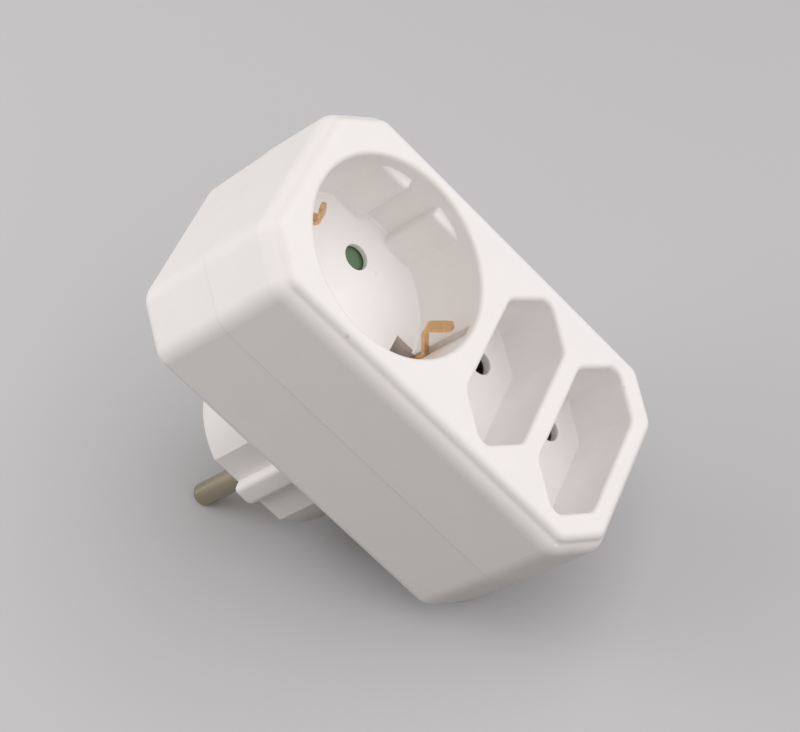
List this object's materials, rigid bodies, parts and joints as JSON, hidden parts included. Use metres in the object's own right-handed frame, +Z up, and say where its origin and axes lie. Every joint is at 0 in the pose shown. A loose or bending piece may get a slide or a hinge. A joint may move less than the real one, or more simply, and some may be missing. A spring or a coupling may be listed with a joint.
{
  "type": "multi socket adapter",
  "caption": "Long eight-sided mains adapter: a recessed round earthed socket and flat six-sided sockets in its stepped face, and a ribbed round plug with pins at its back.",
  "frame": {"origin": "middle of the plug's nose, between the pins", "axes": "+Z up along the housing with the round socket uppermost, +Y along the pins into the wall, +X to the right seen from the wall"},
  "size_m": [0.0494, 0.0785, 0.0896],
  "materials": {
    "white_plastic": "satin white moulding",
    "plated_pin": "dull nickel plate",
    "copper_alloy": "bright rolled strip",
    "brass": "plain rolled strip",
    "green_plastic": "matt dark green moulding",
    "steel": "zinc plated"
  },
  "bodies": {
    "adapter": {"front_cover": "white_plastic", "rear_housing": "white_plastic", "line_pin": "plated_pin", "neutral_pin": "plated_pin", "upper_earth_clip": "copper_alloy", "lower_earth_clip": "copper_alloy", "upper_plug_earth": "plated_pin", "lower_plug_earth": "plated_pin", "shutter_spring": "steel", "shutter_retainer": "steel", "housing_screws": "steel", "line_busbar": "brass", "neutral_busbar": "brass", "contact_rivets": "brass", "earth_bridge": "brass", "earth_rivets": "brass", "round_line_contact": "brass", "upper_flat_line_contact": "brass", "lower_flat_line_contact": "brass", "round_neutral_contact": "brass", "upper_flat_neutral_contact": "brass", "lower_flat_neutral_contact": "brass"},
    "shutter": {"shutter": "green_plastic"}
  },
  "joints": [
    {"name": "shutter_turn", "type": "hinge", "parent": "adapter", "child": "shutter", "pos_m": [0, -0.039, 0.0202], "axis": [0, 1, 0], "range_deg": [0, 38], "stiffness_Nm_per_rad": 0.0004, "springref_deg": -20.05}
  ]
}
